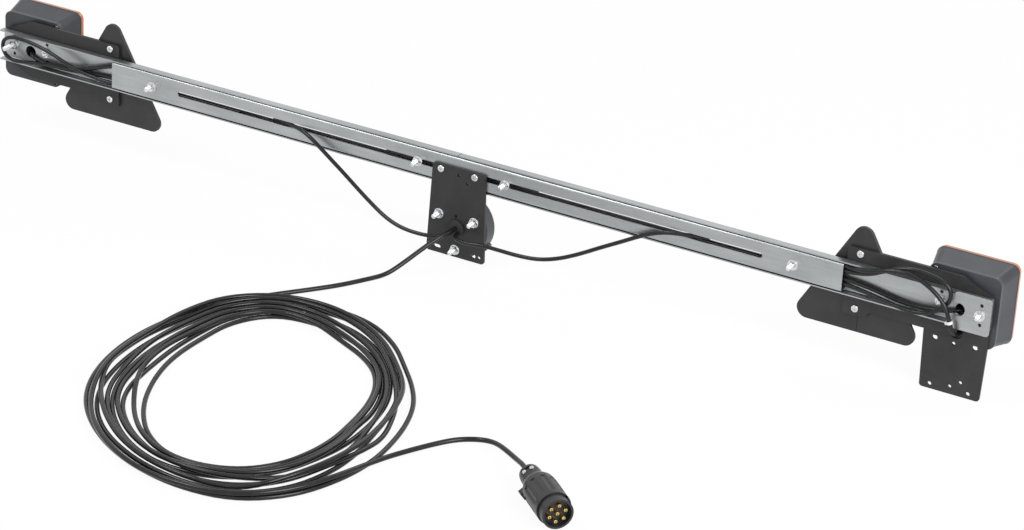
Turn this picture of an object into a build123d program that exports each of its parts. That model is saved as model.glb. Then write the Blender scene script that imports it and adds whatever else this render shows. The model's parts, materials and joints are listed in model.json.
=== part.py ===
from build123d import *
import math
import os

# Extendable trailer lighting board, seen from the vehicle side.
# X runs along the board, Y points away from the vehicle, where the lenses face, and Z is up.
# The origin is the middle of the centre rail's front face. All sizes are millimetres.

# Centre rail: a folded channel whose web faces the vehicle
rail_height = 36.0
sheet = 1.5
bend_radius = 3.0
slot_width = 7.0
rail_overlap = 1.5
clamp_from_rail_end = 63.0
land_beside_slot = 40.0

# Arm rails: wider channels that open towards the vehicle and hold the centre rail between their flanges
arm_length = 700.6
arm_butt_gap = 0.8
arm_depth = 12.0
side_gap = 1.0
front_step = 1.0
web_gap = 0.4
arm_slot_start = 111.0
sliding_gap = 0.3

# Clamp bolts, M6
stud_diameter = 6.0
stud_clearance = 0.6
thread_gap = 0.1
nut_flats = 10.0
nut_height = 5.0
nut_flange_diameter = 13.0
nut_flange_height = 1.2
head_diameter = 13.0
head_height = 3.4
clamp_tip_reach = 15.0
inner_clamp_x = 62.0
inner_clamp_shift = 6.0

# Lamp bracket: the black hanging plate, fitted once in the middle and once at the right end
bracket_height = 119.5
bracket_narrow = 75.0
bracket_wide = 83.0
bracket_thickness = 3.0
bracket_corner = 4.0
bracket_hole = 5.2
bracket_edge = 6.0
bracket_x = 4.5
bracket_low_edge = 8.0
bracket_low_holes = (-26.0, 26.0)
screw_offsets = (-25.0, 23.0)
small_hole = 4.4
spare_bracket_top = 3.8
spare_bracket_inset = 42.0
cable_hole = 18.0

# Round rear fog lamp under the rail
fog_diameter = 81.0
fog_body_depth = 22.0
fog_lens_depth = 9.0
fog_lens_rim = 1.8
fog_wall = 2.5
fog_drop = 80.5
fog_stud_circle = 57.6
fog_stud_reach = 18.0
fog_stud_root = 6.0

# Carrier plate of each arm
carrier_thickness = 4.0
carrier_length = 183.5
carrier_top = 37.0
carrier_bottom = -40.0
carrier_tab_bottom = -49.0
carrier_tab_width = 30.0
carrier_corner = 4.0
carrier_cut_width = 41.0
carrier_cut_height = 18.0

# Rectangular combination lamp of each arm
lamp_inset = 39.8
lamp_z = -3.5
lamp_pad_thickness = 3.0
lamp_back_width = 89.5
lamp_back_height = 90.0
lamp_front_width = 102.0
lamp_front_height = 101.0
lamp_corner = 10.0
lamp_wall = 2.5
lamp_straight_depth = 6.0
lamp_flare_depth = 30.0
lens_depth = 9.0
lens_wall = 2.4
lamp_fixing_shift = 3.3
lamp_stud_spacing = 53.0
lamp_stud_z = 1.0
lamp_stud_root = 6.0
long_stud_tip = -12.0
short_stud_tip = 3.0
drain_hole_height = 12.0
lens_screw_head = 7.0
lens_screw_diameter = 4.0
lens_screw_recess = 3.2
wire_hole = 16.0
lower_wire_hole = 8.0
lower_wire_inset = 35.8
lower_wire_z = -33.5

# Triangular rear reflector of each arm
triangle_side = 170.0
triangle_corner = 13.0
triangle_inset = 14.8
triangle_shift = 1.5
triangle_base_z = -71.5
triangle_back_thickness = 4.0
triangle_rim = 3.0
reflector_thickness = 6.0
reflector_recess = 1.5
triangle_screw_heights = (30.5, -39.6)
triangle_screw_diameter = 5.0
triangle_screw_head = 9.0
screw_head_height = 2.6

# Cover plate at the end of the right arm
cover_width = 45.5
cover_height = 46.6
cover_corner = 4.0
cover_overhang = 3.0
cover_hole_z = 1.5
cover_small_holes = (13.6, -10.9)

# Cables and the ground that the loose cable lies on
ground_z = -118.0
main_cable = 6.0
lamp_cable = 5.2
coil_centre = (7.0, -448.0)
coil_half_length = 256.0
coil_half_width = 187.0
coil_band = 65.0
coil_height = 16.0
coil_turn = 112.0

# Seven-pin plug
plug_nose_radius = 17.7
plug_barrel_radius = 19.7
plug_length = 97.5
plug_rear = (364.4, -460.7)
plug_heading = -41.5
plug_wall = 2.4
plug_cap_length = 25.0
plug_cap_radius = 12.4
plug_cap_flat = 10.4
plug_nose_length = 13.0
plug_socket_depth = 34.0
plug_face_recess = 8.0
plug_flutes = 10
plug_pin_circle = 19.0
plug_pin_diameter = 4.6

# Places worked out from the sizes above
arm_height = rail_height + 2 * (side_gap + sheet)
arm_back = front_step + arm_depth
arm_web_front = arm_back - sheet
rail_depth = arm_web_front - web_gap
arm_inner_x = arm_butt_gap / 2
arm_outer_x = arm_inner_x + arm_length
carrier_inner_x = arm_outer_x - carrier_length
lamp_x = arm_outer_x - lamp_inset
triangle_x = carrier_inner_x + triangle_inset
rail_length = 2 * (carrier_inner_x + rail_overlap)
outer_clamp_x = rail_length / 2 - clamp_from_rail_end
slot_length = 2 * (outer_clamp_x - land_beside_slot)
arm_slot_travel = outer_clamp_x - arm_slot_start
carrier_back = arm_back + carrier_thickness
lamp_back = carrier_back + lamp_pad_thickness
lamp_flare_y = lamp_back + lamp_straight_depth
lamp_mouth = lamp_flare_y + lamp_flare_depth
lens_front = lamp_mouth + lens_depth
cover_front = front_step - sheet
bracket_top = bracket_edge
fog_z = bracket_top - fog_drop
stud_hole = stud_diameter + stud_clearance
plug_z = ground_z + plug_barrel_radius + 0.2
lower_wire_x = arm_outer_x - lower_wire_inset


def save(name, *solids):
    shape = solids[0] if len(solids) == 1 else Compound(children=list(solids))
    export_step(shape, f"parts/{name}.step")


def slab(outline, y_near, y_far):
    # An outline drawn in X and Z, given depth from y_near to y_far
    return extrude(Plane.XZ.offset(-y_near) * outline, amount=-(y_far - y_near))


def rod(x, z, y_near, y_far, diameter):
    return slab(Pos(x, z) * Circle(diameter / 2), y_near, y_far)


def turned(profile, x, z):
    # A half profile of radius and depth, turned about a Y axis through x and z
    points = [(radius, depth) for radius, depth in profile]
    face = make_face(Plane.XZ * Polyline(*points, close=True))
    return Pos(x, 0, z) * Rot(-90, 0, 0) * revolve(face, Axis.Z)


def channel(x_start, length, height, depth, web_y, opens):
    # A folded channel along X; opens is +1 when the flanges point along +Y
    outer = Pos(depth / 2, 0) * Rectangle(depth, height)
    outer = fillet(outer.vertices().group_by(Axis.X)[0], bend_radius)
    inner = Pos(depth / 2 + sheet, 0) * Rectangle(depth, height - 2 * sheet)
    inner = fillet(inner.vertices().group_by(Axis.X)[0], bend_radius - sheet)
    start = x_start if opens > 0 else x_start + length
    section = Plane(origin=(start, web_y, 0), x_dir=(0, opens, 0), z_dir=(opens, 0, 0))
    return extrude(section * (outer - inner), amount=length)


def flange_nut(x, z, seat_y, towards):
    # towards is the sign of Y in which the nut stands on its seat
    far = seat_y + towards * nut_height
    step = seat_y + towards * nut_flange_height
    hexagon = Pos(x, z) * RegularPolygon(nut_flats / 2, 6, major_radius=False)
    body = slab(hexagon, min(seat_y, far), max(seat_y, far))
    body = body & rod(x, z, min(seat_y, far), max(seat_y, far), nut_flats * 1.12)
    body += rod(x, z, min(seat_y, step), max(seat_y, step), nut_flange_diameter)
    return body - rod(x, z, seat_y - nut_height * 2, seat_y + nut_height * 2, stud_diameter + 2 * thread_gap)


def stud(x, z, y_tip, y_root, diameter=stud_diameter):
    body = rod(x, z, y_tip, y_root, diameter)
    return chamfer(body.edges().group_by(Axis.Y)[0], diameter * 0.12)


def clamp_bolt(x, head_y):
    # Domed head behind the arm's web, tip towards the vehicle
    head = [(0, 0), (head_diameter / 2, 0), (head_diameter / 2, head_height * 0.35),
            (head_diameter * 0.3, head_height * 0.85), (0, head_height)]
    dome = Pos(0, head_y, 0) * turned(head, x, 0)
    return dome + stud(x, 0, -clamp_tip_reach, head_y)


def pan_screw(x, z, seat_y, shank_end, diameter, head_diameter_now):
    head = rod(x, z, seat_y - screw_head_height, seat_y, head_diameter_now)
    head = fillet(head.edges().group_by(Axis.Y)[0], screw_head_height * 0.45)
    drive = slab(Pos(x, z) * (Rectangle(1.1, 4.6) + Rectangle(4.6, 1.1)), seat_y - screw_head_height - 1,
                 seat_y - screw_head_height * 0.45)
    return head - drive + rod(x, z, seat_y, shank_end, diameter)


def bracket_outline(x, top_z, narrow_up):
    # The same plate hangs either way up; distances run down from its narrow edge
    sign = -1 if narrow_up else 1
    narrow_z = top_z if narrow_up else top_z - bracket_height

    def at(dx, distance):
        return (x + dx, narrow_z + sign * distance)

    corners = [at(-bracket_narrow / 2, 0), at(bracket_narrow / 2, 0),
               at(bracket_wide / 2, bracket_height), at(-bracket_wide / 2, bracket_height)]
    outline = make_face(Polyline(*corners, close=True))
    outline = fillet(outline.vertices(), bracket_corner)
    for dx in screw_offsets:
        outline -= Pos(*at(dx, bracket_edge)) * Circle(bracket_hole / 2)
    for dx, distance in ((0, 9.5), (12.5, 17.5), (-1.5, 64.5)):
        outline -= Pos(*at(dx, distance)) * Circle(small_hole / 2)
    for dx, dz in fog_stud_offsets():
        outline -= Pos(*at(dx, fog_drop - dz)) * Circle(stud_hole / 2)
    outline -= Pos(*at(0, fog_drop)) * Circle(cable_hole / 2)
    return outline


def fog_stud_offsets():
    radius = fog_stud_circle / 2
    angles = (math.radians(a) for a in (150, 30, 270))
    return [(radius * math.cos(a), radius * math.sin(a)) for a in angles]


def make_centre_rail():
    rail = channel(-rail_length / 2, rail_length, rail_height, rail_depth, 0, 1)
    rail -= slab(SlotOverall(slot_length, slot_width), -1, sheet + 1)
    for side in (-1, 1):
        rail -= rod(side * outer_clamp_x, 0, -1, sheet + 1, stud_hole)
    save("centre_rail", rail)
    bolts = []
    nuts = []
    for side in (-1, 1):
        bolts.append(clamp_bolt(side * outer_clamp_x, arm_back + sliding_gap))
        nuts.append(flange_nut(side * outer_clamp_x, 0, 0, -1))
    save("outer_clamp_bolts", *bolts)
    save("outer_clamp_nuts", *nuts)


def make_centre_bracket():
    outline = bracket_outline(bracket_x, bracket_top, True)
    low_z = bracket_top - bracket_height + bracket_low_edge
    outline -= Pos(bracket_x + bracket_low_holes[0], low_z) * SlotOverall(10, bracket_hole)
    outline -= Pos(bracket_x + bracket_low_holes[1], low_z) * Circle(stud_hole / 2)
    outline -= Pos(bracket_x + bracket_low_holes[1] + 8, low_z - 0.5) * Circle(small_hole / 2)
    save("centre_bracket", slab(outline, -bracket_thickness, 0))
    screws = []
    nuts = []
    for dx in screw_offsets:
        x = bracket_x + dx
        screws.append(pan_screw(x, 0, -bracket_thickness, sheet + 6, 5, 9))
        square = Pos(x, 0) * (Rectangle(9, 9) - Circle(2.5 + thread_gap))
        nuts.append(slab(square, sheet, sheet + 4))
    save("bracket_screws", *screws)
    save("bracket_square_nuts", *nuts)
    collar = cable_hole / 2
    grommet = [(0, -7), (collar + 1, -7), (collar + 2.5, -5.5), (collar + 2.5, -bracket_thickness),
               (collar - 0.1, -bracket_thickness), (collar - 0.1, fog_wall), (0, fog_wall)]
    save("cable_grommet", turned(grommet, bracket_x, fog_z))


def make_fog_lamp():
    radius = fog_diameter / 2
    wall = fog_wall
    depth = fog_body_depth
    shell = [(0, 0), (radius - 6, 0), (radius, 4), (radius, depth), (radius - wall, depth),
             (radius - wall, 4 + wall), (radius - 6, wall), (0, wall)]
    housing = turned(shell, bracket_x, fog_z) - rod(bracket_x, fog_z, -1, wall + 1, cable_hole)
    studs = []
    nuts = []
    for dx, dz in fog_stud_offsets():
        x = bracket_x + dx
        z = fog_z + dz
        housing += rod(x, z, 0, fog_stud_root + 2, stud_diameter + 5)
        housing -= rod(x, z, -1, fog_stud_root, stud_diameter)
        studs.append(stud(x, z, -fog_stud_reach, fog_stud_root))
        nuts.append(flange_nut(x, z, -bracket_thickness, -1))
    for angle in (35, 155, 275):
        lug = Pos(radius + 0.8, 0, 0) * Box(4.6, 9, 8, align=(Align.CENTER, Align.CENTER, Align.MIN))
        lug = Pos(bracket_x, depth - 8, fog_z) * Rot(-90, 0, 0) * Rot(0, 0, angle) * lug
        housing += lug - turned([(0, 0), (radius - wall, 0), (radius - wall, depth), (0, depth)],
                                bracket_x, fog_z)
    save("fog_lamp_housing", housing)
    save("fog_lamp_studs", *studs)
    save("fog_lamp_nuts", *nuts)
    rim = radius - 1.5
    dome = rim - 2.5
    outer = [(rim, depth), (rim, depth + fog_lens_rim)]
    inner = []
    steps = 7
    for step in range(steps + 1):
        turn = math.radians(90 * step / steps)
        share = math.cos(turn) if step < steps else 0
        rise = (fog_lens_depth - fog_lens_rim) * math.sin(turn)
        outer.append((dome * share, depth + fog_lens_rim + rise))
        inner.append(((dome - wall) * share, depth + (fog_lens_depth - wall) * math.sin(turn)))
    save("fog_lamp_lens", turned(outer + inner[::-1], bracket_x, fog_z))
    dish = radius - wall - 0.3
    bowl = [(8, wall + 4), (20, wall + 6), (dish - 4, depth - 3), (dish, depth - 1.5), (dish, depth),
            (dish - 5, depth - 1.2), (19, wall + 7.5), (8, wall + 5.5)]
    save("fog_lamp_reflector", turned(bowl, bracket_x, fog_z))
    bulb = [(0, wall), (7.6, wall), (7.6, wall + 8), (5.5, wall + 9.5), (5.5, wall + 11), (7.2, wall + 14),
            (7.8, wall + 17), (6.6, wall + 20.5), (3.4, wall + 22.6), (0, wall + 23)]
    save("fog_lamp_bulb", turned(bulb, bracket_x, fog_z))


def make_arm(side):
    # Built for the right, where side is +1, and mirrored for the left
    name = "right" if side > 0 else "left"

    def keep(piece, *solids):
        placed = [s if side > 0 else mirror(s, about=Plane.YZ) for s in solids]
        save(f"{name}_{piece}", *placed)

    clamp_x = inner_clamp_x + side * inner_clamp_shift
    rail = channel(arm_inner_x, arm_length, arm_height, arm_depth, arm_back, -1)
    rail -= rod(clamp_x, 0, arm_web_front - 1, arm_back + 1, stud_hole)
    slot_span = arm_slot_travel + slot_width + 2
    slot = Pos(outer_clamp_x + 1 - arm_slot_travel / 2, 0) * SlotOverall(slot_span, slot_width)
    rail -= slab(slot, arm_web_front - 1, arm_back + 1)
    fixing_x = lamp_x + side * lamp_fixing_shift
    lamp_stud_x = (fixing_x - lamp_stud_spacing / 2, fixing_x + lamp_stud_spacing / 2)
    for x in lamp_stud_x:
        rail -= rod(x, lamp_stud_z, arm_web_front - 1, arm_back + 1, stud_hole)
        for z in (-drain_hole_height, drain_hole_height):
            rail -= rod(x, z, arm_web_front - 1, arm_back + 1, small_hole)
    rail -= rod(fixing_x, lamp_z, arm_web_front - 1, arm_back + 1, wire_hole)
    keep("arm_rail", rail)
    keep("inner_clamp_bolt", clamp_bolt(clamp_x, arm_back))
    keep("inner_clamp_nut", flange_nut(clamp_x, 0, -sliding_gap, -1))

    make_carrier(keep, fixing_x, lamp_stud_x, side)
    make_lamp(keep, fixing_x, lamp_stud_x, side)
    make_triangle(keep, side)


def make_carrier(keep, fixing_x, lamp_stud_x, side):
    tab_x = carrier_inner_x + carrier_tab_width
    corners = [(carrier_inner_x, carrier_top), (arm_outer_x - carrier_cut_width, carrier_top),
               (arm_outer_x, carrier_top - carrier_cut_height),
               (arm_outer_x, carrier_bottom + carrier_cut_height),
               (arm_outer_x - carrier_cut_width, carrier_bottom), (tab_x + 4, carrier_bottom),
               (tab_x, carrier_tab_bottom), (carrier_inner_x, carrier_tab_bottom)]
    outline = make_face(Polyline(*corners, close=True))
    outline = fillet(outline.vertices(), carrier_corner)
    wire_way = Pos(fixing_x, lamp_z) * Circle(wire_hole / 2)
    stud_ways = [Pos(x, lamp_stud_z) * Circle(stud_hole / 2) for x in lamp_stud_x]
    outline -= [wire_way, *stud_ways]
    for z in triangle_screw_heights:
        outline -= Pos(triangle_x + side * triangle_shift, z) * Circle(triangle_screw_diameter / 2 + 0.1)
    if side > 0:
        outline -= Pos(lower_wire_x, lower_wire_z) * Circle(lower_wire_hole / 2)
        plate = bracket_outline(arm_outer_x - spare_bracket_inset, spare_bracket_top, False)
        plate -= stud_ways
        plate -= wire_way
        keep("spare_bracket", slab(plate, carrier_back, lamp_back))
        cover_x = arm_outer_x + cover_overhang - cover_width / 2
        cover = Pos(cover_x, 0) * RectangleRounded(cover_width, cover_height, cover_corner)
        cover -= Pos(fixing_x, cover_hole_z) * Circle(wire_hole / 2)
        cover -= stud_ways[1]
        for z in cover_small_holes:
            cover -= Pos(lamp_stud_x[1] + 1, z) * Circle(small_hole / 2)
        keep("cover_plate", slab(cover, cover_front, front_step))
    else:
        pad = Pos(lamp_x, lamp_z) * RectangleRounded(70, 34, 6)
        pad -= [wire_way, *stud_ways]
        keep("lamp_pad", slab(pad, carrier_back, lamp_back))
    keep("carrier_plate", slab(outline, arm_back, carrier_back))


def lamp_block(inset, y_start, y_mid, y_end):
    # Straight back portion and flared mouth, shrunk all round by inset
    def frame(width, height, y):
        corner = max(lamp_corner - inset, 1)
        outline = RectangleRounded(width - 2 * inset, height - 2 * inset, corner)
        return Plane.XZ.offset(-y) * (Pos(lamp_x, lamp_z) * outline)

    back = frame(lamp_back_width, lamp_back_height, y_start)
    middle = frame(lamp_back_width, lamp_back_height, y_mid)
    mouth = frame(lamp_front_width, lamp_front_height, y_end)
    straight = extrude(back, amount=-(y_mid - y_start))
    return straight + loft([middle, mouth])


def make_lamp(keep, fixing_x, lamp_stud_x, side):
    block = lamp_block(0, lamp_back, lamp_flare_y, lamp_mouth)
    housing = block - lamp_block(lamp_wall, lamp_back + lamp_wall, lamp_flare_y, lamp_mouth)
    housing -= rod(fixing_x, lamp_z, lamp_back - 1, lamp_back + lamp_wall + 1, wire_hole)
    studs = []
    nuts = []
    tips = (short_stud_tip, long_stud_tip)
    for x, tip in zip(lamp_stud_x, tips):
        housing += rod(x, lamp_stud_z, lamp_back, lamp_back + lamp_stud_root + 2, stud_diameter + 5)
        housing -= rod(x, lamp_stud_z, lamp_back - 1, lamp_back + lamp_stud_root, stud_diameter)
        studs.append(stud(x, lamp_stud_z, tip, lamp_back + lamp_stud_root))
        on_cover = side > 0 and tip == long_stud_tip
        nuts.append(flange_nut(x, lamp_stud_z, cover_front if on_cover else arm_web_front, -1))
    screws = []
    screw_x = lamp_x - lamp_back_width / 2 + 7
    seat_y = lamp_back + lens_screw_recess
    for side_z in (-1, 1):
        z = lamp_z + side_z * (lamp_back_height / 2 - 7)
        housing += rod(screw_x, z, lamp_back, lamp_mouth - 4, 11) & block
        housing -= rod(screw_x, z, lamp_back - 1, lamp_mouth - 5, lens_screw_diameter)
        housing -= rod(screw_x, z, lamp_back - 1, seat_y, lens_screw_head + 1)
        screws.append(pan_screw(screw_x, z, seat_y, lamp_mouth - 6, lens_screw_diameter - 0.2,
                                lens_screw_head))
    keep("lamp_housing", housing)
    keep("lamp_studs", *studs)
    keep("lamp_nuts", *nuts)
    keep("lens_screws", *screws)

    outer = Pos(lamp_x, lamp_z) * RectangleRounded(lamp_front_width, lamp_front_height, lamp_corner)
    inner = Pos(lamp_x, lamp_z) * RectangleRounded(lamp_front_width - 2 * lens_wall,
                                                   lamp_front_height - 2 * lens_wall, lamp_corner - lens_wall)
    lens = slab(outer, lamp_mouth, lens_front)
    lens = fillet(lens.edges().group_by(Axis.Y)[-1], 3.0)
    lens -= slab(inner, lamp_mouth, lens_front - lens_wall)
    divider = Pos(lamp_x, lamp_z) * Rectangle(lamp_front_width - 2 * lens_wall, 1.6)
    lens += slab(divider, lamp_mouth, lens_front - lens_wall)
    keep("lamp_lens", lens)

    gap = 0.6
    floor_y = lamp_back + lamp_stud_root + 4
    dish_width = lamp_back_width - 2 * lamp_wall - 24
    dish_height = lamp_back_height - 2 * lamp_wall - 24
    rim_y = lamp_mouth - 5
    wide = Plane.XZ.offset(-rim_y) * (Pos(lamp_x, lamp_z) * Rectangle(dish_width, dish_height))
    narrow = Plane.XZ.offset(-floor_y) * (Pos(lamp_x, lamp_z) * Rectangle(dish_width - 16, dish_height - 16))
    bowl = loft([narrow, wide])
    wide_in = Plane.XZ.offset(-rim_y) * (Pos(lamp_x, lamp_z) * Rectangle(dish_width - 3, dish_height - 3))
    narrow_in = Plane.XZ.offset(-(floor_y + 1.5)) * (
        Pos(lamp_x, lamp_z) * Rectangle(dish_width - 18, dish_height - 18))
    bowl -= loft([narrow_in, wide_in])
    bowl += slab(Pos(lamp_x, lamp_z) * Rectangle(dish_width - 17, 1.5), floor_y + 1, rim_y - 3)
    bulbs = []
    for dz in (-dish_height / 5, dish_height / 5):
        bowl -= rod(lamp_x, lamp_z + dz, floor_y - 1, floor_y + 3, 9)
        base = floor_y - gap
        glass = [(0, base), (4.3, base), (4.3, base + 6), (7, base + 9), (7.5, base + 13), (5, base + 17),
                 (0, base + 18.5)]
        bulbs.append(turned(glass, lamp_x, lamp_z + dz))
    keep("lamp_reflector", bowl)
    keep("lamp_bulbs", *bulbs)


def triangle_outline(x, inset):
    edge = triangle_side - inset * 2 * math.sqrt(3)
    centre_z = triangle_base_z + triangle_side / (2 * math.sqrt(3))
    outline = RegularPolygon(edge / math.sqrt(3), 3, rotation=90)
    outline = fillet(outline.vertices(), triangle_corner - inset)
    return Pos(x, centre_z) * outline


def make_triangle(keep, side):
    middle_x = triangle_x + side * triangle_shift
    back_y = carrier_back
    recess_y = back_y + triangle_back_thickness
    front_y = recess_y - reflector_recess + reflector_thickness
    base = slab(triangle_outline(middle_x, 0), back_y, recess_y)
    base = fillet(base.edges().group_by(Axis.Y)[0], 1.0)
    base -= slab(triangle_outline(middle_x, triangle_rim), recess_y - reflector_recess, recess_y + 1)
    if side > 0:
        seam = Pos(middle_x + 2.6, triangle_base_z + 12) * Rectangle(0.7, 20)
        base -= slab(seam, back_y - 1, back_y + 0.8)
    red = slab(triangle_outline(middle_x, triangle_rim + 0.2), recess_y - reflector_recess, front_y)
    red = chamfer(red.edges().group_by(Axis.Y)[-1], 1.5)
    screws = []
    for z in triangle_screw_heights:
        hole = rod(middle_x, z, back_y - 1, front_y - 1.6, triangle_screw_diameter + 0.2)
        base -= hole
        red -= hole
        screws.append(pan_screw(middle_x, z, arm_back, front_y - 2.2, triangle_screw_diameter,
                                triangle_screw_head))
    keep("triangle_back", base)
    keep("triangle_reflector", red)
    keep("triangle_screws", *screws)


def cord(points, diameter, label):
    # Straight runs joined by arcs that take up to 0.45 of the shorter run beside each corner
    places = [Vector(*p) for p in points]
    radii = []
    for before, here, after in zip(places, places[1:], places[2:]):
        run_in = here - before
        run_out = after - here
        turn = math.radians(run_in.get_angle(run_out))
        radii.append(0.45 * min(run_in.length, run_out.length) / math.tan(turn / 2))
    path = FilletPolyline(*places, radius=radii)
    start = Plane(origin=places[0], z_dir=(places[1] - places[0]))
    tube = sweep(start * Circle(diameter / 2), path=path)
    expected = math.pi * diameter ** 2 / 4 * path.length
    print(label, "length", round(path.length), "volume ratio", round(tube.volume / expected, 4),
          "radii", [round(r) for r in radii])
    return tube


def make_leads():
    left = [(-0.5, -7, -79), (-0.5, -15, -79), (-9, -25, -81.5), (-30, -30.5, -82), (-58, -30, -81),
            (-83, -26, -75.5), (-106, -20, -66.5), (-130, -16, -53.5), (-154, -13, -38.5), (-178, -11, -23.5),
            (-200, -9.5, -9.3), (-220, -5.5, -0.6), (-238, 0.5, 0), (-256, 5.2, 0.2), (-272, 6.4, 0)]
    right = [(9.5, -7, -78.5), (9.5, -15, -78.5), (17, -23, -80), (34, -25, -79.6), (54, -22.5, -77.3),
             (76, -19, -79.2), (100, -16, -80.9), (126, -14, -79.6), (152, -12, -72.3), (180, -10.8, -58.8),
             (208, -9.2, -42.6), (234, -7.5, -28.6), (256, -6.5, -16), (276, -6, -6), (296, -5, -0.4),
             (314, -0.5, 0.1), (330, 4.5, 0.2), (344, 6.2, 0)]
    save("left_lead", cord(left, lamp_cable, "left_lead"))
    save("right_lead", cord(right, lamp_cable, "right_lead"))


def from_arm_end(side, points):
    # The first number of each point is its distance in from the arm's outer end
    return [(side * (arm_outer_x - inwards), y, z) for inwards, y, z in points]


def make_arm_cables():
    left_slack = from_arm_end(-1, [
        (376, 6.5, 13.2), (316, 6.5, 12.8), (256, 6.3, 13.4), (205, 6.4, 13.0), (175, 6.0, 9.8),
        (151, 5.4, 1.4), (128, 4.8, -6.2), (101, 3.6, -9.8), (73, 2.2, -11.6), (49, 1.6, -14.2),
        (30, -1.6, -16.4), (17, -2.0, -14.6), (8.6, -2.0, -7.0), (6.8, -2.2, 3.4), (11.5, -2.2, 12.4),
        (25, -2.2, 17.2), (44, -2.2, 16.8), (64, -2.2, 14.0), (85, -2.2, 9.2), (104, -2.4, 2.6),
        (122, -1.8, -4.0), (143, 1.2, -9.0), (165, 3.6, -12.6), (195, 6.4, -13.4), (256, 6.4, -13.0),
        (316, 6.5, -13.4), (376, 6.5, -13.2)])
    left_lamp = from_arm_end(-1, [
        (376, 6.5, -6.6), (316, 6.4, -6.4), (256, 6.6, -6.8), (205, 6.8, -6.6), (175, 8.2, -7.6),
        (149, 8.7, -11.0), (125, 8.7, -14.4), (99, 8.7, -15.9), (75, 8.7, -15.6), (58, 8.7, -12.9),
        (48.6, 8.7, -8.2), (44.0, 11.4, -5.0), (43.0, 16.2, -3.9)])
    right_slack = from_arm_end(1, [
        (401, 6.5, -13.2), (337, 6.5, -13.4), (275, 6.4, -13.0), (221, 6.5, -13.2), (181, 6.2, -12.6),
        (154, 4.6, -13.0), (127, 1.2, -15.2), (103, -2.0, -16.4), (84, -2.4, -16.0), (68, -3.0, -11.2),
        (56, -3.4, -2.6), (48.4, -3.4, 6.6), (45.8, -3.4, 15.6), (47.4, -3.4, 23.8), (53.6, -3.2, 30.2),
        (65, -3.0, 34.2), (81, -2.8, 36.2), (98, -2.8, 36.0), (115, -2.8, 31.6), (131, -2.6, 24.0),
        (147, -2.0, 15.6), (165, 3.0, 9.8), (186, 6.4, 6.8), (221, 6.4, 6.5), (275, 6.5, 6.7),
        (337, 6.4, 6.5), (401, 6.5, 6.6)])
    right_second = from_arm_end(1, [
        (401, 6.5, -6.6), (337, 6.4, -6.5), (275, 6.5, -6.7), (221, 6.4, -6.5), (181, 6.6, -7.0),
        (153, 7.4, -8.2), (126, 7.6, -11.6), (101, 7.8, -13.6), (79, 7.8, -13.0), (61, 7.9, -10.2),
        (44.4, 8.5, -6.2), (38, 11.2, -4.6), (36.6, 16.4, -3.8)])
    right_lamp = from_arm_end(1, [
        (401, 6.5, 13.2), (337, 6.4, 13.4), (275, 6.6, 13.0), (221, 6.4, 13.3), (184, 6.2, 13.4),
        (165, 0.4, 14.9), (148, -7.0, 20.6), (131, -8.6, 27.2), (113, -8.8, 31.6), (95, -8.9, 32.0),
        (79, -9.0, 27.4), (65, -9.0, 19.4), (54.6, -9.0, 10.6), (48.4, -9.0, 2.0), (44.6, -9.0, -6.8),
        (39.6, -8.6, -21.0), (37.2, -5.4, -28.0), (36.0, 1.4, -32.4), (35.8, 8.0, -33.5),
        (35.8, 14.0, -33.6)])
    save("left_slack_cable", cord(left_slack, lamp_cable, "left_slack_cable"))
    save("left_lamp_cable", cord(left_lamp, lamp_cable, "left_lamp_cable"))
    save("right_slack_cable", cord(right_slack, lamp_cable, "right_slack_cable"),
         cord(right_second, lamp_cable, "right_slack_cable second strand"))
    save("right_lamp_cable", cord(right_lamp, lamp_cable, "right_lamp_cable"))
    high = Vector(*right_lamp[14])
    low = Vector(*right_lamp[15])
    seat = Plane(origin=high + (low - high) * 0.5, z_dir=(low - high))
    band = extrude(seat * (Circle(lamp_cable / 2 + 1.0) - Circle(lamp_cable / 2)), amount=1.6, both=True)
    knob = seat * Pos(lamp_cable / 2 + 1.6, 0, 0) * Box(2.4, 3.2, 3.4)
    save("right_cable_tie", band + knob)


def make_main_cable():
    level = ground_z + main_cable / 2 + 0.2
    run = [(5.2, -7, -73), (5.2, -17, -73), (0.5, -31, -75.6), (-8, -45, -83), (-17.5, -59, -93),
           (-28, -75, -104.5), (-39, -95, level - 0.2), (-51, -122, level + 0.3), (-69, -155, level),
           (-92, -188, level + 0.2), (-116, -219, level), (-138, -250, level + 0.3), (-157, -281, level),
           (-172, -312, level + 0.2), (-181, -340, level)]
    outer = Ellipse(coil_half_length, coil_half_width)
    inner = Ellipse(coil_half_length - coil_band, coil_half_width - coil_band)
    place = Pos(coil_centre[0], coil_centre[1], ground_z) * Rot(0, 0, coil_turn)
    ring = extrude(place * (outer - inner), amount=coil_height)
    ring = fillet(ring.edges().group_by(Axis.Z)[-1], coil_height * 0.4)
    save("main_cable_coil", ring)
    outside = cord(run, main_cable, "main_cable_run") - ring
    save("main_cable_run", outside.solids().sort_by(Axis.Y)[-1])
    heading = math.radians(plug_heading)
    ahead = (math.cos(heading), math.sin(heading))

    def behind(distance, drop):
        return (plug_rear[0] - ahead[0] * distance, plug_rear[1] - ahead[1] * distance, plug_z - drop)

    tail = [(183, -556, level), (193, -529, level + 0.2), (205, -500, level), (219, -470, level + 0.3),
            (233, -441, level), (249, -416, level + 0.4), (270, -402.5, level + 1.4),
            (290, -404.5, level + 5), (309, -417.5, level + 10), behind(34, 4.0), behind(15, 0),
            behind(0, 0)]
    save("main_cable_tail", cord(tail, main_cable, "main_cable_tail") - ring)


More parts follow.
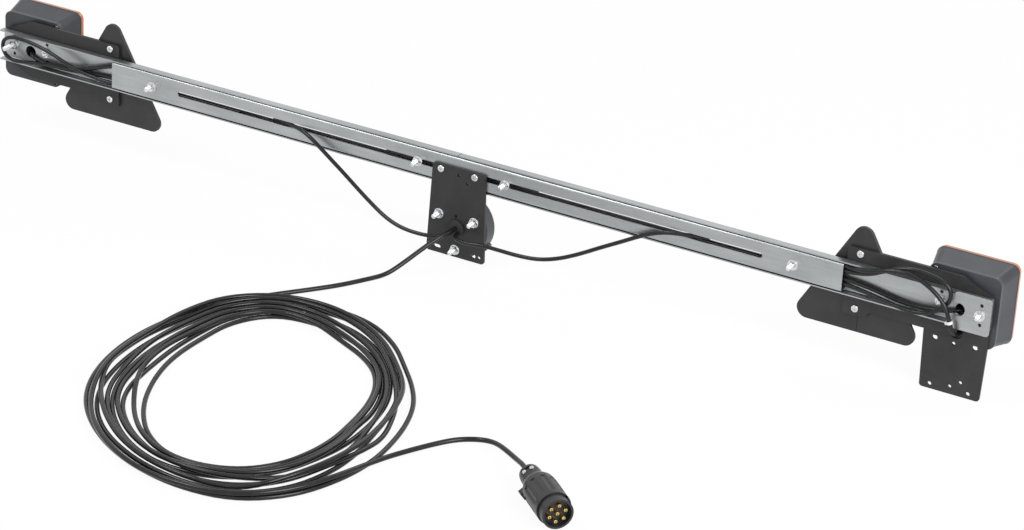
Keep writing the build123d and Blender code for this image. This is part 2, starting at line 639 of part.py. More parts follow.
def make_plug():
    place = Pos(plug_rear[0], plug_rear[1], plug_z) * Rot(0, 0, plug_heading)

    def lathe(profile):
        # Half profile of distance from the rear and radius
        return revolve(make_face(Polyline(*profile, close=True)), Axis.X)

    cap_end = plug_cap_length
    radius = plug_cap_radius
    clamp_middle = cap_end * 0.58
    clamp_turn = Rot(28, 0, 0)
    cap = lathe([(0, 0), (0, 7), (1.5, 9.4), (5, radius - 0.8), (11, radius), (cap_end, radius),
                 (cap_end, 0)])
    cap -= clamp_turn * Pos(clamp_middle, 0, plug_cap_flat + 5) * Box(11, 4 * radius, 10)
    screws = []
    for side_y in (-1, 1):
        head = Pos(clamp_middle, side_y * 4.5, plug_cap_flat) * Cylinder(
            2.3, 1.9, align=(Align.CENTER, Align.CENTER, Align.MIN))
        head -= Pos(clamp_middle, side_y * 4.5, plug_cap_flat + 1.9) * Box(0.8, 6, 1.4)
        screws.append(clamp_turn * head)

    barrel = plug_barrel_radius
    nose = plug_nose_radius
    barrel_end = plug_length - plug_nose_length
    shell = lathe([(cap_end, 0), (cap_end, radius + 0.8), (cap_end + 4, 15.6), (cap_end + 12, barrel - 0.9),
                   (cap_end + 22, barrel), (barrel_end, barrel), (barrel_end, nose), (plug_length, nose),
                   (plug_length, 0)])
    socket_x = plug_length - plug_socket_depth
    shell -= lathe([(socket_x, 0), (socket_x, nose - plug_wall), (plug_length + 1, nose - plug_wall),
                    (plug_length + 1, 0)])
    flute_length = barrel_end - cap_end - 26
    for number in range(plug_flutes):
        flute = Pos(cap_end + 19, 0, barrel + 5.2) * Rot(0, 90, 0) * Cylinder(
            6.4, flute_length, align=(Align.CENTER, Align.CENTER, Align.MIN))
        shell -= Rot(number * 360 / plug_flutes, 0, 0) * flute
    lug = Rot(127, 0, 0) * Pos(cap_end + 4, 0, barrel - 3) * Box(8, 10, 8)
    shell += lug & lathe([(cap_end, 0), (cap_end, barrel + 1.4), (cap_end + 8, barrel + 1.4),
                          (cap_end + 8, 0)])
    shell -= Rot(-45, 0, 0) * Pos(plug_length - 8, 0, nose + 0.4) * Box(17, 4.4, 3)

    insert_radius = nose - plug_wall - 0.1
    face_x = plug_length - plug_face_recess
    insert = lathe([(socket_x, 0), (socket_x, insert_radius), (face_x, insert_radius), (face_x, 0)])
    places = [(0, 0)]
    for turn in range(20, 380, 60):
        angle = math.radians(turn)
        places.append((plug_pin_circle / 2 * math.cos(angle), plug_pin_circle / 2 * math.sin(angle)))
    pins = []
    from_rear = (Align.CENTER, Align.CENTER, Align.MIN)
    for y, z in places:
        across = Pos(socket_x, y, z) * Rot(0, 90, 0)
        insert -= across * Cylinder(plug_pin_diameter / 2, 2 * plug_socket_depth)
        pin = across * Cylinder(plug_pin_diameter / 2, plug_socket_depth - 0.5, align=from_rear)
        pin = fillet(pin.edges().group_by(Axis.X)[-1], 1.2)
        pins.append(pin - Pos(plug_length - 2, y, z) * Box(9, 0.7, 6))
    save("plug_cap", place * cap)
    save("plug_cap_screws", *[place * screw for screw in screws])
    save("plug_shell", place * shell)
    save("plug_insert", place * insert)
    save("plug_pins", *[place * pin for pin in pins])


os.makedirs("parts", exist_ok=True)
make_centre_rail()
make_centre_bracket()
make_fog_lamp()
make_arm(1)
make_arm(-1)
make_leads()
make_arm_cables()
make_main_cable()
make_plug()
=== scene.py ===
import bmesh
import bpy
import json
import math
import random
from mathutils import Matrix, Vector


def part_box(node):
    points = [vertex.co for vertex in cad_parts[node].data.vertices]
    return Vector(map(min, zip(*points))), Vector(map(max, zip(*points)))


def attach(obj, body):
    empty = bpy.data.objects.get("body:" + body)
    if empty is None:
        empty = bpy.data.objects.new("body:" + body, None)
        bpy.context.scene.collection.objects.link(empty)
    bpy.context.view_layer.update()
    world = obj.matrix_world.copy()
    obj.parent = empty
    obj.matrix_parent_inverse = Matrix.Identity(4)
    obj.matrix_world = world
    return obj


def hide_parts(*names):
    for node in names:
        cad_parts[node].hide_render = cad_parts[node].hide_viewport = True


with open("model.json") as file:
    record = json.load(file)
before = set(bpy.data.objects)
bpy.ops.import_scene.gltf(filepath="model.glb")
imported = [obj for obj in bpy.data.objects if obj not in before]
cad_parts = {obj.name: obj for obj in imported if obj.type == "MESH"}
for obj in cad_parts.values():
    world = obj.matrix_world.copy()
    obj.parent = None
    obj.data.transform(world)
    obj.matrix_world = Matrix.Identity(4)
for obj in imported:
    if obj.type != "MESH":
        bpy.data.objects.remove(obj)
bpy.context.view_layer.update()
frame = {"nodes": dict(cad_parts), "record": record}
nodes = frame["nodes"]
mm = 0.001

view = {
    "place": (1.81416, -3.24426, 1.60315),
    "right": (0.86877, 0.49215, 0.05493),
    "up": (-0.25119, 0.34236, 0.90537),
    "back": (0.42678, -0.80036, 0.42105),
    "focal": 115.78,  # on a 36 mm wide sensor
}


def makeCamera():
    data = bpy.data.cameras.new("viewCamera")
    data.sensor_width = 36
    data.lens = view["focal"]
    data.clip_end = 50
    camera = bpy.data.objects.new("viewCamera", data)
    bpy.context.scene.collection.objects.link(camera)
    turn = Matrix((view["right"], view["up"], view["back"])).transposed().to_4x4()
    camera.matrix_world = Matrix.Translation(view["place"]) @ turn
    bpy.context.scene.camera = camera


def blankMaterial(name):
    material = bpy.data.materials.new(name)
    material.use_nodes = True
    tree = material.node_tree
    shader = tree.nodes["Principled BSDF"]
    where = tree.nodes.new("ShaderNodeTexCoord")
    return material, tree, shader, where.outputs["Object"]


def noiseOn(tree, vector, scale, detail, stretch=(1, 1, 1), rough=0.5):
    mapping = tree.nodes.new("ShaderNodeMapping")
    mapping.inputs["Scale"].default_value = stretch
    tree.links.new(vector, mapping.inputs["Vector"])
    noise = tree.nodes.new("ShaderNodeTexNoise")
    noise.inputs["Scale"].default_value = scale
    noise.inputs["Detail"].default_value = detail
    noise.inputs["Roughness"].default_value = rough
    tree.links.new(mapping.outputs["Vector"], noise.inputs["Vector"])
    return noise.outputs["Fac"]


def rampOn(tree, value, look, low=0.3, high=0.7):
    ramp = tree.nodes.new("ShaderNodeValToRGB")
    ramp.color_ramp.elements[0].position = low
    ramp.color_ramp.elements[1].position = high
    ramp.color_ramp.elements[0].color = (*look["dark"], 1)
    ramp.color_ramp.elements[1].color = (*look["light"], 1)
    tree.links.new(value, ramp.inputs["Fac"])
    return ramp.outputs["Color"]


def rangeOn(tree, value, low, high):
    fit = tree.nodes.new("ShaderNodeMapRange")
    fit.inputs["From Min"].default_value = 0.3
    fit.inputs["From Max"].default_value = 0.7
    fit.inputs["To Min"].default_value = low
    fit.inputs["To Max"].default_value = high
    tree.links.new(value, fit.inputs["Value"])
    return fit.outputs["Result"]


def bumpOn(tree, height, shader, strength, distance, before=None):
    bump = tree.nodes.new("ShaderNodeBump")
    bump.inputs["Strength"].default_value = strength
    bump.inputs["Distance"].default_value = distance
    tree.links.new(height, bump.inputs["Height"])
    if before is not None:
        tree.links.new(before, bump.inputs["Normal"])
    tree.links.new(bump.outputs["Normal"], shader.inputs["Normal"])
    return bump.outputs["Normal"]


def mathOn(tree, kind, first, second):
    node = tree.nodes.new("ShaderNodeMath")
    node.operation = kind
    for socket, value in zip(node.inputs, (first, second)):
        if isinstance(value, (int, float)):
            socket.default_value = value
        else:
            tree.links.new(value, socket)
    return node.outputs["Value"]


def colourOn(tree, shader, value, look, low=0.3, high=0.7):
    tree.links.new(rampOn(tree, value, look, low, high), shader.inputs["Base Color"])


def roughOn(tree, shader, value, low, high):
    tree.links.new(rangeOn(tree, value, low, high), shader.inputs["Roughness"])


def setSockets(shader, values):
    for socket, value in values.items():
        shader.inputs[socket].default_value = value


zincLook = {
    "dark": (0.35, 0.365, 0.37),
    "light": (0.49, 0.51, 0.515),
    "rough": (0.46, 0.30),
    "cloud": 16.0,
    "grain": 260.0,  # fine lines along the board
    "spot": 900.0,
    "clouded": 0.7,  # share of the cloud in the mix, and the rest is grain
    "grainBump": (0.12, 0.0002),  # strength, and height in metres
    "spotBump": (0.08, 0.0001),
}


def makeZincSheet():
    material, tree, shader, where = blankMaterial("zincSheet")
    cloud = noiseOn(tree, where, zincLook["cloud"], 5, (0.6, 1, 1.6), 0.6)
    grain = noiseOn(tree, where, zincLook["grain"], 3, (0.06, 1, 1))
    spot = noiseOn(tree, where, zincLook["spot"], 2)
    mixed = mathOn(tree, "ADD", mathOn(tree, "MULTIPLY", cloud, zincLook["clouded"]),
                   mathOn(tree, "MULTIPLY", grain, 1 - zincLook["clouded"]))
    colourOn(tree, shader, mixed, zincLook, 0.32, 0.68)
    roughOn(tree, shader, mixed, *zincLook["rough"])
    setSockets(shader, {"Metallic": 1.0})
    lines = bumpOn(tree, grain, shader, *zincLook["grainBump"])
    bumpOn(tree, spot, shader, *zincLook["spotBump"], lines)
    return material


platedLooks = {
    "brightZinc": {"dark": (0.62, 0.63, 0.63), "light": (0.82, 0.83, 0.84), "rough": (0.34, 0.2),
                   "cloud": 180, "detail": 4, "bump": (0.08, 0.0001)},
    "pinBrass": {"dark": (0.58, 0.40, 0.14), "light": (0.80, 0.60, 0.26), "rough": (0.32, 0.2),
                 "cloud": 400, "detail": 3, "bump": (0.08, 0.0001)},
}


def makePlatedMetal(name):
    look = platedLooks[name]
    material, tree, shader, where = blankMaterial(name)
    cloud = noiseOn(tree, where, look["cloud"], look["detail"])
    colourOn(tree, shader, cloud, look)
    roughOn(tree, shader, cloud, *look["rough"])
    setSockets(shader, {"Metallic": 1.0})
    bumpOn(tree, cloud, shader, *look["bump"])
    return material


paintLook = {
    "dark": (0.016, 0.0155, 0.016),
    "light": (0.031, 0.030, 0.031),
    "rough": (0.40, 0.54),
    "shine": 0.4,
    "cloud": 24,
    "peel": 1400,
    "bump": (0.25, 0.0002),
}


def makeBlackSteel():
    material, tree, shader, where = blankMaterial("blackSteel")
    cloud = noiseOn(tree, where, paintLook["cloud"], 5, rough=0.65)
    peel = noiseOn(tree, where, paintLook["peel"], 2)
    colourOn(tree, shader, cloud, paintLook, 0.3, 0.75)
    roughOn(tree, shader, cloud, *paintLook["rough"])
    setSockets(shader, {"Specular IOR Level": paintLook["shine"]})
    bumpOn(tree, peel, shader, *paintLook["bump"])
    return material


plasticLooks = {
    "lampPlastic": {"dark": (0.030, 0.032, 0.038), "light": (0.046, 0.048, 0.057),
                    "rough": 0.36, "grain": 900},
    "blackPlastic": {"dark": (0.016, 0.0155, 0.0155), "light": (0.028, 0.027, 0.027),
                     "rough": 0.42, "grain": 1200},
    "plugPlastic": {"dark": (0.012, 0.012, 0.0125), "light": (0.021, 0.021, 0.022),
                    "rough": 0.34, "grain": 1000},
    "blackRubber": {"dark": (0.014, 0.014, 0.014), "light": (0.024, 0.024, 0.024),
                    "rough": 0.6, "grain": 1500},
    "paleNylon": {"dark": (0.56, 0.56, 0.53), "light": (0.70, 0.70, 0.67),
                  "rough": 0.45, "grain": 900},
}
moulding = {"cloud": 30, "smoother": 0.06, "rougher": 0.08, "shine": 0.45, "bump": (0.18, 0.00015)}


def makeMouldedPlastic(name):
    look = plasticLooks[name]
    material, tree, shader, where = blankMaterial(name)
    cloud = noiseOn(tree, where, moulding["cloud"], 4)
    fine = noiseOn(tree, where, look["grain"], 2)
    colourOn(tree, shader, cloud, look)
    roughOn(tree, shader, fine, look["rough"] - moulding["smoother"], look["rough"] + moulding["rougher"])
    setSockets(shader, {"Specular IOR Level": moulding["shine"]})
    bumpOn(tree, fine, shader, *moulding["bump"])
    return material


sheathLook = {
    "dark": (0.005, 0.005, 0.0055),
    "light": (0.012, 0.012, 0.013),
    "rough": (0.17, 0.26),
    "shine": 0.36,
    "cloud": 60,
    "fine": 1800,
    "bump": (0.06, 0.0001),
}


def makeSheath():
    material, tree, shader, where = blankMaterial("cableSheath")
    cloud = noiseOn(tree, where, sheathLook["cloud"], 4)
    fine = noiseOn(tree, where, sheathLook["fine"], 2)
    colourOn(tree, shader, cloud, sheathLook)
    roughOn(tree, shader, cloud, *sheathLook["rough"])
    setSockets(shader, {"Specular IOR Level": sheathLook["shine"]})
    bumpOn(tree, fine, shader, *sheathLook["bump"])
    return material


lensLook = {
    "amber": {"dark": (0.58, 0.15, 0.024), "light": (0.70, 0.22, 0.040)},
    "red": {"dark": (0.50, 0.012, 0.010), "light": (0.64, 0.022, 0.018)},
    "seam": -3.5,  # height where amber meets red, mm
    "ripple": 12,
    "bump": (0.05, 0.0005),
    "shine": {"Roughness": 0.08, "Transmission Weight": 0.2, "IOR": 1.49, "Coat Weight": 0.6,
              "Coat Roughness": 0.04},
}


def blankLens(name):
    material, tree, shader, where = blankMaterial(name)
    ripple = noiseOn(tree, where, lensLook["ripple"], 3)
    setSockets(shader, lensLook["shine"])
    bumpOn(tree, ripple, shader, *lensLook["bump"])
    return material, tree, shader, ripple, where


def makeLensPlastic(name, colour):
    material, tree, shader, ripple = blankLens(name)[:4]
    colourOn(tree, shader, ripple, lensLook[colour])
    return material


def makeTwoToneLens():
    material, tree, shader, ripple, where = blankLens("twoToneLens")
    split = tree.nodes.new("ShaderNodeSeparateXYZ")
    tree.links.new(where, split.inputs["Vector"])
    above = mathOn(tree, "GREATER_THAN", split.outputs["Z"], lensLook["seam"] * mm)
    mix = tree.nodes.new("ShaderNodeMix")
    mix.data_type = "RGBA"
    tree.links.new(above, mix.inputs[0])
    first, second = mix.inputs[6], mix.inputs[7]  # its two colours
    tree.links.new(rampOn(tree, ripple, lensLook["red"]), first)
    tree.links.new(rampOn(tree, ripple, lensLook["amber"]), second)
    tree.links.new(mix.outputs[2], shader.inputs["Base Color"])
    return material


glossLooks = {
    "reflectorRed": {"dark": (0.42, 0.008, 0.007), "light": (0.62, 0.02, 0.015),
                     "cloud": 900, "bump": (0.1, 0.0001),
                     "shine": {"Roughness": 0.12, "Coat Weight": 0.8, "Coat Roughness": 0.05}},
    "mirrorPlating": {"dark": (0.78, 0.78, 0.79), "light": (0.90, 0.90, 0.90),
                      "cloud": 90, "bump": (0.1, 0.0003),
                      "shine": {"Metallic": 1.0, "Roughness": 0.08}},
    "bulbGlass": {"dark": (0.90, 0.90, 0.88), "light": (0.97, 0.97, 0.95),
                  "cloud": 60, "bump": None,
                  "shine": {"Transmission Weight": 0.9, "IOR": 1.5, "Roughness": 0.03}},
}


def makeGlossy(name):
    look = glossLooks[name]
    material, tree, shader, where = blankMaterial(name)
    cloud = noiseOn(tree, where, look["cloud"], 2)
    colourOn(tree, shader, cloud, look)
    setSockets(shader, look["shine"])
    if look["bump"]:
        bumpOn(tree, cloud, shader, *look["bump"])
    return material


def makeMaterials():
    looks = {
        "zinc_sheet": makeZincSheet(),
        "zinc_fasteners": makePlatedMetal("brightZinc"),
        "black_steel": makeBlackSteel(),
        "lamp_plastic": makeMouldedPlastic("lampPlastic"),
        "black_plastic": makeMouldedPlastic("blackPlastic"),
        "plug_plastic": makeMouldedPlastic("plugPlastic"),
        "black_rubber": makeMouldedPlastic("blackRubber"),
        "cable_sheath": makeSheath(),
        "lamp_lens": makeTwoToneLens(),
        "red_lens": makeLensPlastic("redLens", "red"),
        "reflector_red": makeGlossy("reflectorRed"),
        "mirror_plating": makeGlossy("mirrorPlating"),
        "bulb_glass": makeGlossy("bulbGlass"),
        "pin_brass": makePlatedMetal("pinBrass"),
        "pale_nylon": makeMouldedPlastic("paleNylon"),
    }
    for part in frame["record"]["subparts"]:
        piece = nodes[part["node"]]
        piece.data.materials.clear()
        piece.data.materials.append(looks[part["material_slot"]])
    looks["amber"] = makeLensPlastic("amberLens", "amber")
    return looks


cableLook = {
    "main": 6.0,
    "lead": 5.2,
    "clear": 0.2,  # gap to what it lies on
    "floor": -118.0,
    "armEnd": 701.0,
    "round": 3,  # facets in a quarter of the section
    "steps": 5,  # segments from one point of a route to the next
}
floorLevel = cableLook["floor"] + cableLook["main"] / 2 + cableLook["clear"]

mainRun = [
    (5.2, -7, -73), (5.2, -17, -73), (0.5, -31, -75.6), (-8, -45, -83), (-17.5, -59, -93), (-28, -75, -104.5),
    (-39, -95, floorLevel - 0.2), (-51, -122, floorLevel + 0.3), (-69, -155, floorLevel),
    (-92, -188, floorLevel + 0.2), (-116, -219, floorLevel), (-137, -250, floorLevel + 0.3),
]
plug = {"rear": (364.4, -460.7, -98.1), "turned": -41.5}


def behindPlug(distance, drop):
    turn = math.radians(plug["turned"])
    return (plug["rear"][0] - math.cos(turn) * distance, plug["rear"][1] - math.sin(turn) * distance,
            plug["rear"][2] - drop)


mainTail = [
    (205, -500, floorLevel), (219, -470, floorLevel + 0.3), (233, -441, floorLevel),
    (249, -416, floorLevel + 0.4), (270, -402.5, floorLevel + 1.4), (290, -404.5, floorLevel + 5),
    (309, -417.5, floorLevel + 10),
    behindPlug(34, 4), behindPlug(15, 0), behindPlug(0, 0),
]

coil = {
    "centre": (10, -455),
    "outer": (184, 179, 189, 238, 262, 219, 195, 191, 201, 225, 246, 213),  # outermost turn, every 30 degrees
    "inner": (124, 129, 151, 174, 207, 153, 126, 122, 140, 174, 177, 145),  # innermost turn
    "from": 133,  # degrees, where the run joins
    "turns": 9.56,
    "steps": 24,  # points in a turn
    "usual": (0, 2, 5, 7, 9, 8, 6, 4, 3, 1),  # lane that each turn mostly keeps, counted inwards
    "wander": 1.9,  # lanes that a turn strays
    "directions": 8,  # in which the turns change lanes
    "reach": 70,  # how far to look for turns that lie under a point
    "samples": 6,  # heights taken on the way to each neighbour
    "joins": (5, 8),  # steps in which the first turn leaves the outer edge, and the last comes back to it
    "seed": 71,
    "gaps": {1: ((8, 0.8),), 2: ((7, 1.3), (8, 1.1)), 4: ((5, 0.4),), 6: ((1, 0.4),), 7: ((5, 0.9),)},
}


def eased(before, first, second, after, share):
    # Smooth value between first and second
    return first + 0.5 * share * (second - before + share * (
        2 * before - 5 * first + 4 * second - after + share * (3 * (first - second) + after - before)))


def around(values, angle):
    place = angle / 360 * len(values)
    start = math.floor(place)
    return eased(*(values[(start + n) % len(values)] for n in (-1, 0, 1, 2)), place - start)


def coilLanes():
    # Lane of each turn in each direction, 0 at the outer edge and 1 at the inner
    draw = random.Random(coil["seed"])
    usual = coil["usual"]
    lanes = []
    for direction in range(coil["directions"]):
        order = sorted(range(len(usual)), key=lambda turn: usual[turn] + draw.uniform(-1, 1) * coil["wander"])
        gaps = coil["gaps"].get(direction, ())
        width = len(usual) - 1 + sum(size for rank, size in gaps)
        lanes.append({turn: (rank + sum(size for after, size in gaps if rank > after)) / width
                      for rank, turn in enumerate(order)})
    count = coil["directions"]
    return [lanes[n % count][n // count] for n in range(count * len(usual))]


def nearestOnRun(x, y, first, second):
    dx, dy = second[0] - first[0], second[1] - first[1]
    share = ((x - first[0]) * dx + (y - first[1]) * dy) / max(dx * dx + dy * dy, 1e-9)
    share = min(max(share, 0), 1)
    gap = math.hypot(x - first[0] - share * dx, y - first[1] - share * dy)
    return gap, first[2] + share * (second[2] - first[2])


def restingHeight(x, y, laid, bore):
    # Height at which a cable rests on the floor and on what is already laid under it
    height = floorLevel
    for first, second in zip(laid, laid[1:]):
        if abs(first[0] - x) > coil["reach"] or abs(first[1] - y) > coil["reach"]:
            continue
        gap, under = nearestOnRun(x, y, first, second)
        if gap < bore:
            height = max(height, under + math.sqrt(bore * bore - gap * gap))
    return height


def coilRoute():
    lanes = coilLanes()
    total = round(coil["turns"] * coil["steps"])
    flat = []
    for step in range(total + 1):
        angle = coil["from"] + 360 * step / coil["steps"]
        place = step / coil["steps"] * coil["directions"]
        first = math.floor(place)
        lane = eased(*(lanes[min(max(first + n, 0), len(lanes) - 1)] for n in (-1, 0, 1, 2)), place - first)
        lane *= min(step / coil["joins"][0], (total - step) / coil["joins"][1], 1)
        radius = around(coil["outer"], angle) * (1 - lane) + around(coil["inner"], angle) * lane
        turn = math.radians(angle)
        flat.append((coil["centre"][0] + radius * math.cos(turn),
                     coil["centre"][1] + radius * math.sin(turn)))
    laid = list(mainRun)
    apart = coil["steps"] // 3  # nearer points are on the same stretch of cable
    bore = cableLook["main"] + cableLook["clear"]
    for step, (x, y) in enumerate(flat):
        known = laid[:max(len(laid) - apart, 2)]
        height = floorLevel
        for otherX, otherY in (flat[max(step - 1, 0)], flat[min(step + 1, total)]):
            for part in range(coil["samples"]):
                share = part / coil["samples"]
                onWay = restingHeight(x + (otherX - x) * share, y + (otherY - y) * share, known, bore)
                height = max(height, onWay)
        laid.append((x, y, height))
    return laid[len(mainRun):]


leftLead = [
    (-0.5, -7, -79), (-0.5, -15, -79), (-9, -25, -81.5), (-30, -30.5, -82), (-58, -30, -81),
    (-83, -26, -75.5), (-106, -20, -66.5), (-130, -16, -53.5), (-154, -13, -38.5), (-178, -11, -23.5),
    (-200, -9.5, -9.3), (-220, -5.5, -0.6), (-238, 0.5, 0), (-256, 5.2, 0.2), (-272, 6.4, 0),
]
rightLead = [
    (9.5, -7, -78.5), (9.5, -15, -78.5), (17, -23, -80), (34, -25, -79.6), (54, -22.5, -77.3),
    (76, -19, -79.2), (100, -16, -80.9), (126, -14, -79.6), (152, -12, -72.3), (180, -10.8, -58.8),
    (208, -9.2, -42.6), (234, -7.5, -28.6), (256, -6.5, -16), (276, -6, -6), (296, -5, -0.4),
    (314, -0.5, 0.1), (330, 4.5, 0.2), (344, 6.2, 0),
]


def fromArmEnd(side, points):
    # The first number of each point is its distance in from the arm's outer end
    return [(side * (cableLook["armEnd"] - inwards), y, z) for inwards, y, z in points]


leftSlack = fromArmEnd(-1, [
    (376, 6.5, 13.2), (316, 6.5, 12.8), (256, 6.3, 13.4), (205, 6.4, 13.0), (175, 6.0, 9.8),
    (151, 5.4, 1.4), (128, 4.8, -6.2), (101, 3.6, -9.8), (73, 2.2, -11.6), (49, 1.6, -14.2),
    (30, -1.6, -16.4), (17, -2.0, -14.6), (8.6, -2.0, -7.0), (6.8, -2.2, 3.4), (11.5, -2.2, 12.4),
    (25, -2.2, 17.2), (44, -2.2, 16.8), (64, -2.2, 14.0), (85, -2.2, 9.2), (104, -2.4, 2.6),
    (122, -1.8, -4.0), (143, 1.2, -9.0), (165, 3.6, -12.6), (195, 6.4, -13.4), (256, 6.4, -13.0),
    (316, 6.5, -13.4), (376, 6.5, -13.2),
])
leftLamp = fromArmEnd(-1, [
    (376, 6.5, -6.6), (316, 6.4, -6.4), (256, 6.6, -6.8), (205, 6.8, -6.6), (175, 8.2, -7.0),
    (149, 8.7, -8.8), (125, 8.7, -11.6), (99, 8.7, -13.2), (75, 8.7, -13.6), (58, 8.7, -11.9),
    (48.6, 8.7, -8.2), (44.0, 11.4, -5.0), (43.0, 16.2, -3.9),
])
rightSlack = fromArmEnd(1, [
    (401, 6.5, -13.2), (337, 6.5, -13.3), (275, 6.4, -12.7), (232, 6.5, -11.3), (206, 6.5, -9.2),
    (181, 6.2, -9.2), (154, 4.6, -11.2), (127, 1.2, -14.2), (103, -2.0, -16.4), (84, -2.4, -16.0),
    (68, -3.0, -11.2), (56, -3.4, -2.6), (48.4, -3.4, 6.6), (45.8, -3.4, 15.6), (47.4, -3.4, 23.8),
    (53.6, -3.2, 30.2), (65, -3.0, 34.2), (81, -2.8, 36.2), (98, -2.8, 36.0), (115, -2.8, 31.6),
    (131, -2.6, 24.0), (147, -2.0, 15.6), (165, 3.0, 9.8), (186, 6.4, 6.8), (221, 6.4, 6.5),
    (275, 6.5, 6.7), (337, 6.4, 6.5), (401, 6.5, 6.6),
])
rightSecond = fromArmEnd(1, [
    (401, 6.5, -6.6), (337, 6.4, -6.7), (275, 6.5, -6.7), (232, 6.4, -5.7), (206, 6.4, -3.5),
    (181, 6.6, -3.2), (153, 7.4, -5.4), (126, 7.6, -10.2), (101, 7.8, -13.6), (79, 7.8, -13.0),
    (61, 7.9, -10.2), (44.4, 8.5, -6.2), (38, 11.2, -4.6), (36.6, 16.4, -3.8),
])
rightLamp = fromArmEnd(1, [
    (401, 6.5, 13.2), (337, 6.4, 13.4), (275, 6.6, 13.0), (221, 6.4, 13.3), (184, 6.2, 13.4),
    (165, 0.4, 14.9), (148, -7.0, 20.6), (131, -8.6, 27.2), (113, -8.8, 31.6), (95, -8.9, 32.0),
    (79, -9.0, 27.4), (65, -9.0, 19.4), (54.6, -9.0, 10.6), (48.4, -9.0, 2.0), (44.6, -9.0, -6.8),
    (39.6, -8.6, -21.0), (37.2, -5.4, -28.0), (36.0, 1.4, -32.4), (35.8, 8.0, -33.5),
    (35.8, 14.0, -33.6),
])


def makeCord(name, route, diameter, body, looks, stands):
    curve = bpy.data.curves.new(name, "CURVE")
    curve.dimensions = "3D"
    curve.bevel_depth = diameter / 2 * mm
    curve.bevel_resolution = cableLook["round"]
    curve.resolution_u = cableLook["steps"]
    curve.use_fill_caps = True
    spline = curve.splines.new("NURBS")
    spline.points.add(len(route) - 1)
    for point, (x, y, z) in zip(spline.points, route):
        point.co = (x * mm, y * mm, z * mm, 1)
    spline.order_u = 3
    spline.use_endpoint_u = True
    piece = bpy.data.objects.new(name, curve)
    bpy.context.scene.collection.objects.link(piece)
    curve.materials.append(looks["cable_sheath"])
    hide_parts(*stands)
    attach(piece, body)
    length = splineLength(piece)
    print("cord", name, round(length, 3))


def splineLength(piece):
    bare = piece.copy()
    bare.data = piece.data.copy()
    bare.data.bevel_depth = 0
    mesh = bpy.data.meshes.new_from_object(bare)
    points = [v.co.copy() for v in mesh.vertices]
    total = sum((b - a).length for a, b in zip(points, points[1:]))
    bpy.data.objects.remove(bare)
    return total


leads = {
    "leftSideLead": (leftLead, "centre_section", "left_lead"),
    "rightSideLead": (rightLead, "centre_section", "right_lead"),
    "leftSlackCable": (leftSlack, "left_arm", "left_slack_cable"),
    "leftLampCable": (leftLamp, "left_arm", "left_lamp_cable"),
    "rightSlackCable": (rightSlack, "right_arm", "right_slack_cable"),
    "rightSecondCable": (rightSecond, "right_arm", "right_slack_cable"),
    "rightLampCable": (rightLamp, "right_arm", "right_lamp_cable"),
}


def makeCords(looks):
    makeCord("mainCable", mainRun + coilRoute() + mainTail, cableLook["main"], "centre_section", looks,
             ("main_cable_run", "main_cable_coil", "main_cable_tail"))
    for name, (route, body, node) in leads.items():
        makeCord(name, route, cableLook["lead"], body, looks, (node,))


arms = {"left": (-1, "left_arm"), "right": (1, "right_arm")}  # side of the board, body


def openEdit(piece):
    bpy.ops.object.select_all(action="DESELECT")
    piece.select_set(True)
    bpy.context.view_layer.objects.active = piece
    bpy.ops.object.mode_set(mode="EDIT")
    bpy.ops.mesh.select_all(action="SELECT")


def openNew(name):
    # The primitive that was just added, named and open for editing
    piece = bpy.context.active_object
    piece.name = name
    openEdit(piece)
    return piece


def selectFaces(piece, chosen):
    bpy.ops.mesh.select_mode(type="FACE")
    bpy.ops.mesh.select_all(action="DESELECT")
    mesh = bmesh.from_edit_mesh(piece.data)
    for face in mesh.faces:
        face.select = chosen(face)
    bmesh.update_edit_mesh(piece.data)


def selectEdges(piece, chosen):
    bpy.ops.mesh.select_mode(type="EDGE")
    bpy.ops.mesh.select_all(action="DESELECT")
    mesh = bmesh.from_edit_mesh(piece.data)
    for edge in mesh.edges:
        edge.select = chosen(*(v.co for v in edge.verts))
    bmesh.update_edit_mesh(piece.data)


def faceForward(place):
    # Drawn flat on the floor, then stood up to face the lens side, and moved to its place in mm
    bpy.ops.transform.rotate(value=-math.pi / 2, orient_axis="X", center_override=(0, 0, 0))
    bpy.ops.transform.translate(value=[v * mm for v in place])


def giveWall(piece, thickness, offset):
    bpy.ops.object.mode_set(mode="OBJECT")
    wall = piece.modifiers.new("wall", "SOLIDIFY")
    wall.thickness = thickness * mm
    wall.offset = offset
    bpy.ops.object.modifier_apply(modifier="wall")


def finishPiece(piece, body, material, stands=(), smooth=30):
    # The mesh takes the place, so the object stays at the origin
    bpy.ops.object.select_all(action="DESELECT")
    piece.select_set(True)
    bpy.context.view_layer.objects.active = piece
    bpy.ops.object.transform_apply(location=True, rotation=True, scale=True)
    bpy.ops.object.shade_smooth_by_angle(angle=math.radians(smooth))
    piece.data.materials.clear()
    piece.data.materials.append(material)
    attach(piece, body)
    if stands:
        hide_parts(*stands)


def joinPieces(name, pieces):
    bpy.ops.object.select_all(action="DESELECT")
    for piece in pieces:
        piece.select_set(True)
    bpy.context.view_layer.objects.active = pieces[0]
    if len(pieces) > 1:
        bpy.ops.object.join()
    joined = bpy.context.active_object
    joined.name = name
    return joined


